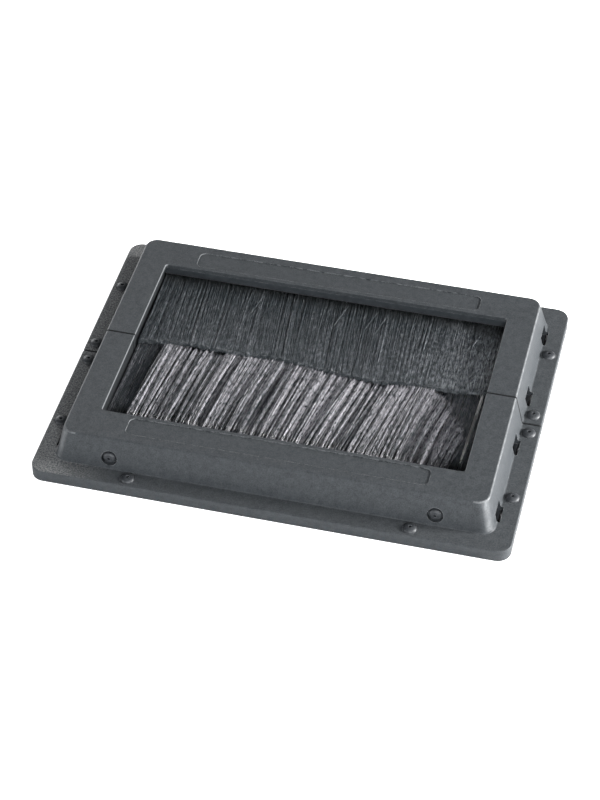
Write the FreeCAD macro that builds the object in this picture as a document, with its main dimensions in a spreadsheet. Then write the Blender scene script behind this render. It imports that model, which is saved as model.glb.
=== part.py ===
import FreeCAD, Part
import math
import os
import re

import Sketcher
from FreeCAD import Placement, Rotation, Vector

# Raised floor grommet: two equal moulded frame halves that meet along a seam and close a cable
# opening with two opposed rows of brush filaments. Millimetres. Z is up, the floor is Z = 0, X runs
# along the long side and the origin is in the middle of the opening. Each half is drawn as the front
# one, on the -Y side of the seam, and the back one is the same moulding turned half round about Z.

# Driving sizes: name, value, what it measures
DRIVING_SIZES = (
    ("flangeLength", 330, "flange, end to end"),
    ("flangeWidth", 248, "flange of both halves, front to back"),
    ("flangeEdge", 9, "height of the flange"),
    ("flangeStrip", 13.4, "flat strip of flange outside the collar"),
    ("flangeCorner", 9.5, "radius of the flange's corners"),
    ("flangeRound", 0.8, "rounding of the flange's upper rim"),
    ("overallHeight", 32, "floor to the collar's top"),
    ("wallLean", 5.6, "how far the collar's wall leans in from foot to top"),
    ("collarCorner", 9, "radius of the collar's corners"),
    ("collarRound", 1.5, "rounding along the collar's top"),
    ("footRound", 1, "fillet along the collar's foot"),
    ("wallThickness", 3, "walls of the moulding"),
    ("topSkin", 3.2, "thickness of the collar's top"),
    ("sideBar", 20.5, "width of the collar's top beside the opening"),
    ("longBar", 26, "width of the collar's top before and behind the opening"),
    ("openingCorner", 2, "radius of the opening's corners"),
    ("openingRound", 0.5, "rounding of the opening's upper edge"),
    ("seamGap", 0.5, "gap between the two halves"),
    ("seamBevel", 0.4, "bevel of the edges along the seam"),
    ("panelLength", 208, "bare recessed panel in each long bar"),
    ("panelWidth", 15.5, "front to back of the panel"),
    ("panelInset", 3, "panel's distance from the opening"),
    ("panelDepth", 0.6, "depth of the panel"),
    ("panelCorner", 4, "radius of the panel's corners"),
    ("windowLength", 14.6, "latch window in the foot of a short wall"),
    ("windowRise", 6.4, "window's height above the flange"),
    ("windowReach", 2, "window's reach into the flange"),
    ("innerWindow", 25, "seam to the middle of the inner windows"),
    ("outerWindow", 90, "seam to the middle of the outer windows"),
    ("holeInset", 7.2, "flange's edge to the middle of a floor screw hole"),
    ("holeSink", 10, "spot face for a floor screw's head"),
    ("sinkDepth", 0.7, "depth of that spot face"),
    ("holeDish", 0.6, "bevel from the spot face into the hole"),
    ("holeBore", 4.6, "through hole for a floor screw"),
    ("holeBoss", 15, "solid length of flange at each hole"),
    ("innerHole", 9.2, "seam to the holes beside it"),
    ("outerHole", 73, "seam to the holes near the corners"),
    ("frontHole", 97, "middle of the long side to its holes"),
    ("ribThickness", 2, "stiffening ribs"),
    ("flangeRibs", 44, "spacing of the ribs under the long flange"),
    ("tongueWidth", 6, "locating tongue across the seam"),
    ("tongueHeight", 4, "height of the tongue"),
    ("tongueLow", 2, "floor to the tongue"),
    ("tongueReach", 2.6, "tongue's reach past the seam's middle"),
    ("tongueFit", 0.2, "clearance round the tongue"),
    ("wallScrewInset", 39.6, "end of the collar's foot to the wall screws"),
    ("wallScrewHeight", 17, "floor to the wall screws"),
    ("wallSink", 11, "counterbore of a wall screw"),
    ("wallSinkDepth", 2.2, "depth of that counterbore at the screw's axis"),
    ("wallBore", 4.6, "through hole for a wall screw"),
    ("screwBoss", 16, "block behind a wall screw"),
    ("wallRibs", 56, "spacing of the ribs inside the long wall"),
    ("wallRibLow", 12, "floor to the foot of those ribs"),
    ("wallRibTop", 27, "floor to the top of those ribs"),
    ("carrierFit", 0.3, "clearance between frame half and brush carrier"),
    ("carrierWall", 2.2, "walls of the brush carrier"),
    ("carrierSetback", 1.5, "carrier's face behind the opening's edge"),
    ("carrierLow", 4, "floor to the carrier's inner skirt"),
    ("skirtLow", 8, "floor to the carrier's outer skirt"),
    ("carrierRibs", 40, "spacing of the carrier's cross ribs"),
    ("latchReach", 0.8, "latch nose's reach into the collar's wall"),
    ("latchFit", 0.8, "play of a latch in its window"),
    ("latchHeight", 2.6, "thickness of a latch"),
    ("carrierBoss", 9, "carrier's boss for a wall screw"),
    ("brushHeight", 19.2, "floor to the middle of the brush"),
    ("channelWidth", 6.2, "metal channel that grips the filaments"),
    ("channelDepth", 7.6, "mouth to back of the channel"),
    ("channelMetal", 0.8, "sheet thickness of the channel"),
    ("channelCorner", 1.4, "outer radius of the channel's folds"),
    ("channelFit", 0.2, "play of the channel in its groove"),
    ("channelInset", 0.6, "channel's mouth behind the carrier's face"),
    ("wireDiameter", 1.5, "core wire that the filaments fold round"),
    ("wireFit", 0.1, "play of the wire and of the filaments in the channel"),
    ("frontPast", 6.9, "how far the front row's tips reach past the seam"),
    ("backShort", 3.1, "how far the back row's tips end before the seam"),
    ("tuftPitch", 4.2, "spacing of the tufts"),
    ("tuftGap", 0.5, "gap between tufts at the root"),
    ("tipWidth", 3.2, "width of a tuft at its tip"),
    ("tipThickness", 2.8, "height of a tuft at its tip"),
    ("tuftCrown", 0.6, "ridge along the middle of a tuft"),
    ("frontDrop", 0.8, "how far the front row sags to its tips"),
    ("backRise", 3.2, "how far the back row rises to its tips"),
    ("frontSweep", 15, "sideways sweep of the front row's tips"),
    ("backSweep", 9, "sideways sweep of the back row's tips"),
    ("tipWave", 2.6, "waviness of the line of tips"),
    ("screwHead", 8.8, "wall screw's head"),
    ("screwHeadHeight", 2.8, "height of that head"),
    ("headRound", 1.9, "rounding of the head's rim"),
    ("screwShank", 3.9, "wall screw's shank"),
    ("screwLength", 11, "wall screw under its head"),
    ("screwPilot", 4, "carrier's bore for the screw"),
    ("driveFlats", 2.2, "screw's hexagon socket across its flats"),
    ("driveDepth", 1.6, "depth of that socket"),
)

# Sizes that follow from the driving ones. Half sizes are measured from the middle of the opening.
WORKED_OUT = {
    "footX": "(flangeLength / 2 - flangeStrip)",
    "footY": "(flangeWidth / 2 - flangeStrip)",
    "topX": "(footX - wallLean)",
    "topY": "(footY - wallLean)",
    "collarRise": "(overallHeight - flangeEdge)",
    "openX": "(topX - sideBar)",
    "openY": "(topY - longBar)",
    "roof": "(overallHeight - topSkin)",
    "roofX": "(topX + wallLean * topSkin / collarRise - wallThickness)",
    "roofY": "(topY + wallLean * topSkin / collarRise - wallThickness)",
    "floorX": "(footX - wallThickness)",
    "floorY": "(footY - wallThickness)",
    "wallScrewAt": "(footX - wallScrewInset)",
    "wallAtScrew": "(topY + wallLean * (overallHeight - wallScrewHeight) / collarRise)",
    "screwSeat": "(wallAtScrew - wallSinkDepth)",
    "carrierX": "(roofX - carrierFit)",
    "carrierY": "(roofY - carrierFit)",
    "carrierTop": "(roof - carrierFit)",
    "padY": "(carrierY + carrierFit)",
    "faceX": "(openX + carrierSetback)",
    "faceY": "(openY + carrierSetback)",
    "mouthY": "(faceY + channelInset)",
    "frontReach": "(mouthY + frontPast)",
    "backReach": "(mouthY - backShort)",
    "grooveY": "(mouthY + channelDepth + channelFit)",
    "grooveHalf": "(channelWidth / 2 + channelFit)",
    "stripX": "(faceX - carrierFit)",
    "sideHoleX": "(flangeLength / 2 - holeInset)",
    "frontHoleY": "(flangeWidth / 2 - holeInset)",
    "underside": "(flangeEdge - wallThickness)",
    "bandHalf": "(channelWidth / 2 - channelMetal - wireFit)",
    "bandBack": "(mouthY + channelDepth - channelMetal - wireFit)",
    "wireY": "(bandBack - wireDiameter)",
}

doc = FreeCAD.newDocument("raised_floor_grommet")
sheet = doc.addObject("Spreadsheet::Sheet", "sizes")
for row, (alias, number, note) in enumerate(DRIVING_SIZES, start=1):
    sheet.set(f"A{row}", note)
    sheet.set(f"B{row}", str(number))
    sheet.setAlias(f"B{row}", alias)
doc.recompute()

ALIASES = {alias for alias, number, note in DRIVING_SIZES}
WORD = re.compile(r"[A-Za-z]+")

# Edges are picked by where they lie: within SAME of a place, or at least BESIDE off it
SAME = 0.02
BESIDE = 0.1


def formula(text):
    """Writes a formula in plain size names as one that reads the sheet's cells."""

    def spell(match):
        word = match.group(0)
        if word in WORKED_OUT:
            return formula(WORKED_OUT[word])
        if word in ALIASES:
            return f"sizes.{word}"
        return word

    return WORD.sub(spell, str(text))


def value(text):
    """The number that a formula gives with the sheet's present sizes."""
    return float(sheet.evalExpression(formula(text)))


def new_body(label):
    """An empty body with its own label."""
    body = doc.addObject("PartDesign::Body", label)
    body.Label = label
    return body


def twin(source, label, turn, shift="0"):
    """A second piece from the same mould, turned about Z by degrees and shifted along X."""
    body = new_body(label)
    copy = doc.addObject("PartDesign::FeatureBase", f"{label}_copy")
    copy.BaseFeature = source
    body.Group = [copy]
    body.Tip = copy
    body.Placement = Placement(Vector(0, 0, 0), Rotation(Vector(0, 0, 1), turn))
    body.setExpression("Placement.Base.x", formula(shift))
    doc.recompute()
    return body


def flat_sketch(body, name, role, offset):
    """A sketch on one of the body's origin planes, moved along the plane's normal."""
    plane = [item for item in body.Origin.OriginFeatures if item.Role == role][0]
    sketch = body.newObject("Sketcher::SketchObject", name)
    sketch.AttachmentSupport = (plane, [""])
    sketch.MapMode = "FlatFace"
    sketch.setExpression("AttachmentOffset.Base.z", formula(offset))
    return sketch


def place_point(sketch, edge, end, across, up):
    """Ties one point of a sketch to its two distances from the sketch's origin."""
    for kind, text in (("DistanceX", across), ("DistanceY", up)):
        index = sketch.addConstraint(Sketcher.Constraint(kind, -1, 1, edge, end, value(text)))
        sketch.setExpression(f"Constraints[{index}]", formula(text))


def outline(body, name, role, offset, *loops):
    """A sketch of closed straight-sided loops, each a list of (across, up) formulas."""
    sketch = flat_sketch(body, name, role, offset)
    for points in loops:
        corners = [Vector(value(across), value(up), 0) for across, up in points]
        edges = []
        for start, end in zip(corners, corners[1:] + corners[:1]):
            edges.append(sketch.addGeometry(Part.LineSegment(start, end), False))
        for before, after in zip(edges, edges[1:] + edges[:1]):
            sketch.addConstraint(Sketcher.Constraint("Coincident", before, 2, after, 1))
        for edge, (across, up) in zip(edges, points):
            place_point(sketch, edge, 1, across, up)
    return sketch


def rectangle(left, right, low, high):
    """The four corners of a rectangle, for an outline."""
    return [(left, low), (right, low), (right, high), (left, high)]


def circles(body, name, role, offset, diameter, centres):
    """A sketch of equal circles."""
    sketch = flat_sketch(body, name, role, offset)
    for across, up in centres:
        middle = Vector(value(across), value(up), 0)
        ring = Part.Circle(middle, Vector(0, 0, 1), value(diameter) / 2)
        edge = sketch.addGeometry(ring, False)
        place_point(sketch, edge, 3, across, up)
        size = Sketcher.Constraint("Diameter", edge, value(diameter))
        index = sketch.addConstraint(size)
        sketch.setExpression(f"Constraints[{index}]", formula(diameter))
    return sketch


def extrude(body, kind, name, sketch, length, backwards=False, both_ways=False):
    """A pad or a pocket from a sketch."""
    feature = body.newObject(f"PartDesign::{kind}", name)
    feature.Profile = sketch
    feature.setExpression("Length", formula(length))
    feature.Reversed = backwards
    feature.Midplane = both_ways
    doc.recompute()
    return feature


def pad(body, name, sketch, length, **options):
    return extrude(body, "Pad", name, sketch, length, **options)


def pocket(body, name, sketch, length, **options):
    """A pocket, with a check that it takes material away."""
    before = body.Shape.Volume
    feature = extrude(body, "Pocket", name, sketch, length, **options)
    if body.Shape.Volume > before - SAME:
        raise ValueError(f"{name} cuts nothing")
    return feature


def loft(body, kind, name, first, second):
    """Flat-sided loft between two sketches, added to the body or taken from it."""
    feature = body.newObject(f"PartDesign::{kind}", name)
    feature.Profile = first
    feature.Sections = [second]
    feature.Ruled = True
    doc.recompute()
    return feature


def dress(body, kind, name, chosen, size_text):
    """A fillet or chamfer on the edges of the body that the given test picks."""
    base = body.Tip
    size_name = "Radius" if kind == "Fillet" else "Size"
    names = []
    for number, edge in enumerate(base.Shape.Edges, start=1):
        if chosen(edge):
            names.append(f"Edge{number}")
    feature = body.newObject(f"PartDesign::{kind}", name)
    feature.Base = (base, names)
    feature.setExpression(size_name, formula(size_text))
    doc.recompute()
    return feature


def close(first, second):
    return abs(first - second) < SAME


def level(edge, height):
    """True where the whole edge lies at one height."""
    box = edge.BoundBox
    return close(box.ZMin, height) and close(box.ZMax, height)


def upright(edge):
    """True for a straight vertical edge."""
    box = edge.BoundBox
    return box.XLength < SAME and box.YLength < SAME and box.ZLength > SAME


def both_sides(points):
    """The given points and their mirror images across X = 0."""
    mirrored = []
    for across, up in points:
        mirrored += [(across, up), (f"-({across})", up)]
    return mirrored


def add_collar(body):
    """Flange plate with rounded corners, and on it the collar with three leaning walls."""
    plate = outline(
        body, "flange_outline", "XY_Plane", "0",
        rectangle("-flangeLength / 2", "flangeLength / 2", "-flangeWidth / 2", "-seamGap / 2"),
    )
    pad(body, "flange", plate, "flangeEdge")
    front = -value("flangeWidth") / 2
    dress(
        body, "Fillet", "flange_corners",
        lambda edge: upright(edge) and close(edge.CenterOfMass.y, front), "flangeCorner",
    )
    seam = -value("seamGap") / 2
    dress(
        body, "Chamfer", "seam_ends",
        lambda edge: upright(edge) and close(edge.CenterOfMass.y, seam), "2 * seamBevel",
    )
    foot = outline(
        body, "collar_foot", "XY_Plane", "flangeEdge",
        rectangle("-footX", "footX", "-footY", "-seamGap / 2"),
    )
    pad(body, "collar", foot, "collarRise")
    front_lean = outline(
        body, "front_lean", "YZ_Plane", "0",
        [("-footY", "flangeEdge"), ("-topY", "overallHeight"), ("-footY", "overallHeight")],
    )
    pocket(body, "front_wall", front_lean, "2 * footX", both_ways=True)
    side_leans = outline(
        body, "side_leans", "XZ_Plane", "footY",
        [("footX", "flangeEdge"), ("topX", "overallHeight"), ("footX", "overallHeight")],
        [("-footX", "flangeEdge"), ("-topX", "overallHeight"), ("-footX", "overallHeight")],
    )
    pocket(body, "side_walls", side_leans, "footY")
    middle = (value("overallHeight") + value("flangeEdge")) / 2
    corner_y = -(value("footY") + value("topY")) / 2
    dress(
        body, "Fillet", "collar_corners",
        lambda edge: close(edge.CenterOfMass.z, middle) and close(edge.CenterOfMass.y, corner_y)
        and edge.BoundBox.XLength < value("wallLean") + BESIDE,
        "collarCorner",
    )


def round_rims(body):
    """Soft edges along the collar's top and foot and along the flange's upper rim."""
    seam = -value("seamGap") / 2
    top = value("overallHeight")
    deck = value("flangeEdge")
    inside = (value("footX") + BESIDE, value("footY") + BESIDE)

    def off_seam(edge):
        return edge.BoundBox.YMin < seam - BESIDE

    def on_flange_rim(edge):
        middle = edge.CenterOfMass
        return abs(middle.x) > inside[0] or abs(middle.y) > inside[1]

    dress(
        body, "Fillet", "collar_rim",
        lambda edge: level(edge, top) and off_seam(edge), "collarRound",
    )
    dress(
        body, "Fillet", "foot_fillet",
        lambda edge: level(edge, deck) and off_seam(edge) and not on_flange_rim(edge), "footRound",
    )
    dress(
        body, "Fillet", "flange_rim",
        lambda edge: level(edge, deck) and off_seam(edge) and on_flange_rim(edge), "flangeRound",
    )


def hollow_out(body):
    """Cavity inside the collar, open below and at the seam, with walls of even thickness."""
    shaft = outline(
        body, "cavity_shaft", "XY_Plane", "0",
        rectangle("-floorX", "floorX", "-floorY", "wallThickness"),
    )
    pocket(body, "cavity_below", shaft, "flangeEdge", backwards=True)
    low = outline(
        body, "cavity_foot", "XY_Plane", "flangeEdge",
        rectangle("-floorX", "floorX", "-floorY", "wallThickness"),
    )
    high = outline(
        body, "cavity_roof", "XY_Plane", "roof",
        rectangle("-roofX", "roofX", "-roofY", "wallThickness"),
    )
    loft(body, "SubtractiveLoft", "cavity", low, high)


def cut_opening(body):
    """Cable opening in the collar's top, with small corner radii and a soft upper edge."""
    hole = outline(
        body, "opening_outline", "XY_Plane", "overallHeight",
        rectangle("-openX", "openX", "-openY", "wallThickness"),
    )
    pocket(body, "opening", hole, "topSkin + wallThickness")
    edge_y = -value("openY")
    dress(
        body, "Fillet", "opening_corners",
        lambda edge: upright(edge) and close(edge.CenterOfMass.y, edge_y)
        and close(edge.BoundBox.ZLength, value("topSkin")),
        "openingCorner",
    )
    top = value("overallHeight")
    reach_x = value("openX") + BESIDE
    dress(
        body, "Fillet", "opening_rim",
        lambda edge: level(edge, top) and abs(edge.CenterOfMass.x) < reach_x
        and edge.CenterOfMass.y > edge_y - BESIDE
        and edge.BoundBox.YMin < -value("seamGap"),
        "openingRound",
    )


def cut_panel(body):
    """Shallow bare panel with rounded corners in the long bar."""
    inner = "-(openY + panelInset)"
    outer = "-(openY + panelInset + panelWidth)"
    panel = outline(
        body, "panel_outline", "XY_Plane", "overallHeight",
        rectangle("-panelLength / 2", "panelLength / 2", outer, inner),
    )
    pocket(body, "panel", panel, "panelDepth")
    dress(
        body, "Fillet", "panel_corners",
        lambda edge: upright(edge) and close(edge.BoundBox.ZLength, value("panelDepth")),
        "panelCorner",
    )


def cut_windows(body):
    """Latch windows through the feet of the short walls, two a side, running into the flange."""
    loops = []
    for centre in ("innerWindow", "outerWindow"):
        low = f"-({centre} + windowLength / 2)"
        high = f"-({centre} - windowLength / 2)"
        loops.append(rectangle("topX - wallThickness", "footX + windowReach", low, high))
        loops.append(rectangle("-(footX + windowReach)", "-(topX - wallThickness)", low, high))
    windows = outline(body, "window_outlines", "XY_Plane", "flangeEdge + windowRise", *loops)
    pocket(body, "windows", windows, "windowRise + wallThickness")


def hollow_flange(body):
    """Underside of the flange: pockets between the rim and the collar's foot, solid at each hole."""
    rim_x = "flangeLength / 2 - wallThickness"
    rim_y = "-(flangeWidth / 2 - wallThickness)"
    half = "holeBoss / 2"
    end_rib = "footX - ribThickness"
    loops = [
        rectangle(f"-({end_rib})", f"-(frontHole + {half})", rim_y, "-footY"),
        rectangle(f"frontHole + {half}", end_rib, rim_y, "-footY"),
    ]
    ribs = int((2 * value("frontHole") - value("holeBoss")) / value("flangeRibs"))
    start = f"-(frontHole - {half})"
    for number in range(1, ribs + 2):
        if number > ribs:
            end = f"frontHole - {half}"
        else:
            end = f"({number} - ({ribs} + 1) / 2) * flangeRibs - ribThickness / 2"
        loops.append(rectangle(start, end, rim_y, "-footY"))
        start = f"{end} + ribThickness"
    corner_cut = "flangeCorner - wallThickness"
    beside_hole = f"-(outerHole + {half})"
    side_pockets = [
        rectangle("footX", rim_x, f"-(outerHole - {half})", f"-(innerHole + {half})"),
        [
            ("footX", rim_y),
            (f"{rim_x} - ({corner_cut})", rim_y),
            (rim_x, f"{rim_y} + {corner_cut}"),
            (rim_x, beside_hole),
            ("footX", beside_hole),
        ],
    ]
    for points in side_pockets:
        loops.append(points)
        loops.append([(f"-({across})", up) for across, up in points])
    pockets = outline(body, "underside_outlines", "XY_Plane", "0", *loops)
    pocket(body, "underside_pockets", pockets, "underside", backwards=True)


def drill_flange(body):
    """Floor screw holes with a spot face: two on each short side and two on the long side."""
    centres = both_sides([
        ("sideHoleX", "-innerHole"),
        ("sideHoleX", "-outerHole"),
        ("frontHole", "-frontHoleY"),
    ])
    floor = value("flangeEdge - sinkDepth")
    sinks = circles(body, "sink_circles", "XY_Plane", "flangeEdge", "holeSink", centres)
    pocket(body, "sinks", sinks, "sinkDepth")
    bores = circles(body, "bore_circles", "XY_Plane", "flangeEdge", "holeBore", centres)
    pocket(body, "bores", bores, "flangeEdge")
    dress(
        body, "Chamfer", "hole_dishes",
        lambda edge: level(edge, floor) and close(edge.BoundBox.XLength, value("holeBore")),
        "holeDish",
    )


def wall_block(body, name, middle, width, low, high):
    """Block inside the long wall: its back follows the wall's lean, its face meets the carrier."""
    left = f"{middle} - {width} / 2"
    right = f"{middle} + {width} / 2"
    sections = []
    for part, height in (("foot", low), ("top", high)):
        surface = f"topY + wallLean * (overallHeight - ({height})) / collarRise"
        buried = f"-({surface} - wallThickness / 2)"
        sections.append(outline(
            body, f"{name}_{part}", "XY_Plane", height, rectangle(left, right, buried, "-padY"),
        ))
    return loft(body, "AdditiveLoft", name, *sections)


def add_wall_screws(body):
    """Blocks for the two wall screws, with a counterbore and a through hole in each."""
    low = "wallScrewHeight - screwBoss / 2"
    high = "wallScrewHeight + screwBoss / 2"
    wall_block(body, "screw_block_left", "-wallScrewAt", "screwBoss", low, high)
    wall_block(body, "screw_block_right", "wallScrewAt", "screwBoss", low, high)
    centres = both_sides([("wallScrewAt", "wallScrewHeight")])
    sinks = circles(body, "wall_sink_circles", "XZ_Plane", "footY", "wallSink", centres)
    pocket(body, "wall_sinks", sinks, "footY - screwSeat")
    bores = circles(body, "wall_bore_circles", "XZ_Plane", "screwSeat", "wallBore", centres)
    pocket(body, "wall_bores", bores, "screwSeat - padY + carrierFit")


def add_wall_ribs(body):
    """Thin ribs between the long wall and the carrier, spaced from the middle."""
    count = 1 + 2 * int((value("wallScrewAt") - value("screwBoss")) / value("wallRibs"))
    for number in range(count):
        middle = f"({number} - ({count} - 1) / 2) * wallRibs"
        wall_block(body, f"wall_rib_{number + 1}", middle, "ribThickness", "wallRibLow", "wallRibTop")


def add_seam_fit(body):
    """Tongue at one end of the seam and its socket at the other, so that two equal halves locate."""
    tongue = outline(
        body, "tongue_outline", "XY_Plane", "tongueLow",
        rectangle("sideHoleX - tongueWidth / 2", "sideHoleX + tongueWidth / 2",
                  "-wallThickness", "tongueReach"),
    )
    pad(body, "tongue", tongue, "tongueHeight")
    left = "-(sideHoleX + tongueWidth / 2 + tongueFit)"
    right = "-(sideHoleX - tongueWidth / 2 - tongueFit)"
    socket = outline(
        body, "socket_outline", "XY_Plane", "tongueLow - tongueFit",
        rectangle(left, right, "-(tongueReach + tongueFit)", "wallThickness"),
    )
    pocket(body, "socket", socket, "tongueHeight + 2 * tongueFit", backwards=True)


def bevel_seam(body):
    """Fine bevels where the seam crosses the collar's top."""
    seam = -value("seamGap") / 2
    top = value("overallHeight")

    def on_seam(edge):
        box = edge.BoundBox
        return close(box.YMin, seam) and close(box.YMax, seam)

    dress(
        body, "Chamfer", "seam_top",
        lambda edge: on_seam(edge) and level(edge, top), "seamBevel",
    )


def frame_half(label):
    """One moulded half of the frame."""
    body = new_body(label)
    add_collar(body)
    round_rims(body)
    hollow_out(body)
    cut_opening(body)
    cut_panel(body)
    add_wall_screws(body)
    add_wall_ribs(body)
    cut_windows(body)
    hollow_flange(body)
    drill_flange(body)
    add_seam_fit(body)
    bevel_seam(body)
    return body


def add_carrier_bar(body):
    """Long bar of the carrier: a moulded section with a groove for the brush's channel."""
    jaw = "brushHeight + grooveHalf"
    sill = "brushHeight - grooveHalf"
    section = [
        ("-faceY", "carrierTop"),
        ("-faceY", jaw),
        ("-grooveY", jaw),
        ("-grooveY", sill),
        ("-faceY", sill),
        ("-faceY", "carrierLow"),
        ("-(faceY + carrierWall)", "carrierLow"),
        ("-(faceY + carrierWall)", f"{sill} - carrierWall"),
        ("-(grooveY + carrierWall)", f"{sill} - carrierWall"),
        ("-(grooveY + carrierWall)", f"{jaw} + carrierWall"),
        ("-(faceY + carrierWall)", f"{jaw} + carrierWall"),
        ("-(faceY + carrierWall)", "carrierTop - carrierWall"),
        ("-(carrierY - carrierWall)", "carrierTop - carrierWall"),
        ("-(carrierY - carrierWall)", "skirtLow"),
        ("-carrierY", "skirtLow"),
        ("-carrierY", "carrierTop"),
    ]
    profile = outline(body, "bar_section", "YZ_Plane", "0", section)
    pad(body, "long_bar", profile, "2 * carrierX", both_ways=True)


def add_carrier_arms(body):
    """Two arms that run from the long bar to the seam under the side bars."""
    loops = []
    for side in ("", "-"):
        loops.append([
            (f"{side}(faceX)", "carrierLow"),
            (f"{side}(faceX)", "carrierTop"),
            (f"{side}(carrierX)", "carrierTop"),
            (f"{side}(carrierX)", "skirtLow"),
            (f"{side}(carrierX - carrierWall)", "skirtLow"),
            (f"{side}(carrierX - carrierWall)", "carrierTop - carrierWall"),
            (f"{side}(faceX + carrierWall)", "carrierTop - carrierWall"),
            (f"{side}(faceX + carrierWall)", "carrierLow"),
        ])
    profile = outline(body, "arm_sections", "XZ_Plane", "seamGap", *loops)
    pad(body, "arms", profile, "carrierY - seamGap")


def add_latches(body):
    """Latches on the arms, each with a nose just under the top of a window in the short wall."""
    high = "flangeEdge + windowRise - latchFit"
    low = f"{high} - latchHeight"
    tip = "floorX + latchReach - wallLean * windowRise / collarRise"
    for row, centre in (("inner", "innerWindow"), ("outer", "outerWindow")):
        loops = []
        for side in ("", "-"):
            loops.append([
                (f"{side}(carrierX - carrierWall)", low),
                (f"{side}({tip})", low),
                (f"{side}({tip})", f"{low} + latchHeight / 2"),
                (f"{side}({tip} - latchReach)", high),
                (f"{side}(carrierX - carrierWall)", high),
            ])
        offset = f"{centre} - windowLength / 2 + latchFit"
        profile = outline(body, f"{row}_latch_sections", "XZ_Plane", offset, *loops)
        pad(body, f"{row}_latches", profile, "windowLength - 2 * latchFit")


def add_carrier_ribs(body):
    """Cross ribs between the carrier's outer wall and its groove, spaced from the middle."""
    count = 1 + 2 * int((value("wallScrewAt") - value("carrierBoss")) / value("carrierRibs"))
    first = f"-({count} - 1) / 2 * carrierRibs"
    section = rectangle(
        "-(carrierY - carrierWall / 2)", "-(grooveY + carrierWall / 2)",
        "skirtLow + carrierWall", "carrierTop - carrierWall / 2",
    )
    profile = outline(body, "cross_rib_section", "YZ_Plane", f"{first} - ribThickness / 2", section)
    rib = pad(body, "cross_rib", profile, "ribThickness")
    row = body.newObject("PartDesign::LinearPattern", "cross_ribs")
    row.Originals = [rib]
    row.Direction = (profile, ["N_Axis"])
    row.Occurrences = count
    row.setExpression("Length", formula(f"({count} - 1) * carrierRibs"))
    body.Tip = row
    doc.recompute()


def add_carrier_bosses(body):
    """Bosses that the wall screws bite into."""
    centres = both_sides([("wallScrewAt", "wallScrewHeight")])
    rings = circles(body, "boss_circles", "XZ_Plane", "grooveY + carrierWall / 2", "carrierBoss",
                    centres)
    pad(body, "bosses", rings, "carrierY - grooveY - carrierWall")
    bores = circles(body, "pilot_circles", "XZ_Plane", "carrierY", "screwPilot", centres)
    pocket(body, "pilots", bores, "screwLength + carrierFit - (screwSeat - carrierY)")


def brush_carrier(label):
    """The inner moulding of one half: it holds the brush and latches into the frame half."""
    body = new_body(label)
    add_carrier_bar(body)
    add_carrier_arms(body)
    add_latches(body)
    add_carrier_ribs(body)
    add_carrier_bosses(body)
    return body


def brush_channel(label):
    """Folded metal channel that grips the filaments along their roots."""
    body = new_body(label)
    back = "-(mouthY + channelDepth)"
    top = "brushHeight + channelWidth / 2"
    low = "brushHeight - channelWidth / 2"
    section = [
        ("-mouthY", top),
        (back, top),
        (back, low),
        ("-mouthY", low),
        ("-mouthY", f"{low} + channelMetal"),
        (f"{back} + channelMetal", f"{low} + channelMetal"),
        (f"{back} + channelMetal", f"{top} - channelMetal"),
        ("-mouthY", f"{top} - channelMetal"),
    ]
    profile = outline(body, "channel_section", "YZ_Plane", "0", section)
    pad(body, "channel", profile, "2 * stripX", both_ways=True)
    back_y = value(back)
    dress(
        body, "Fillet", "channel_folds",
        lambda edge: close(edge.BoundBox.YMax, back_y)
        and edge.BoundBox.XLength > value("channelWidth"),
        "channelCorner",
    )
    return body


def core_wire(label, side):
    """Straight steel wire that the filaments are folded round, deep in the channel."""
    wire = doc.addObject("Part::Cylinder", label)
    wire.Label = label
    wire.setExpression("Radius", formula("wireDiameter / 2"))
    wire.setExpression("Height", formula("2 * stripX"))
    wire.Placement = Placement(Vector(), Rotation(Vector(0, 1, 0), 90))
    wire.setExpression("Placement.Base.x", formula("-stripX"))
    wire.setExpression("Placement.Base.y", formula(f"{side} * wireY"))
    wire.setExpression("Placement.Base.z", formula("brushHeight"))
    doc.recompute()
    return wire


def tuft(root_x, tip_x, reach, rise, size):
    """One tapered tuft with a ridge along its top, from the channel's mouth to its tip."""
    root_y = -size["mouthY"]
    sections = []
    for x, y, z, width, thickness in (
        (root_x, root_y - size["rootDepth"], 0, size["rootWidth"], size["rootThickness"]),
        (tip_x, root_y + reach, rise, size["tipWidth"], size["tipThickness"]),
    ):
        middle = size["brushHeight"] + z
        low = middle - thickness / 2
        shoulder = middle + thickness / 2 - size["crown"]
        corners = [
            Vector(x - width / 2, y, low),
            Vector(x + width / 2, y, low),
            Vector(x + width / 2, y, shoulder),
            Vector(x, y, middle + thickness / 2),
            Vector(x - width / 2, y, shoulder),
        ]
        sections.append(Part.makePolygon(corners + corners[:1]))
    return Part.makeLoft(sections, True, True)


def sideways(share, sweep, peak):
    """Sideways sweep of a tip: none at both ends of the row and most at the peak's place."""
    if share < peak:
        return sweep * math.sin(math.pi / 2 * share / peak)
    return sweep * math.cos(math.pi / 2 * (share - peak) / (1 - peak))


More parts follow.
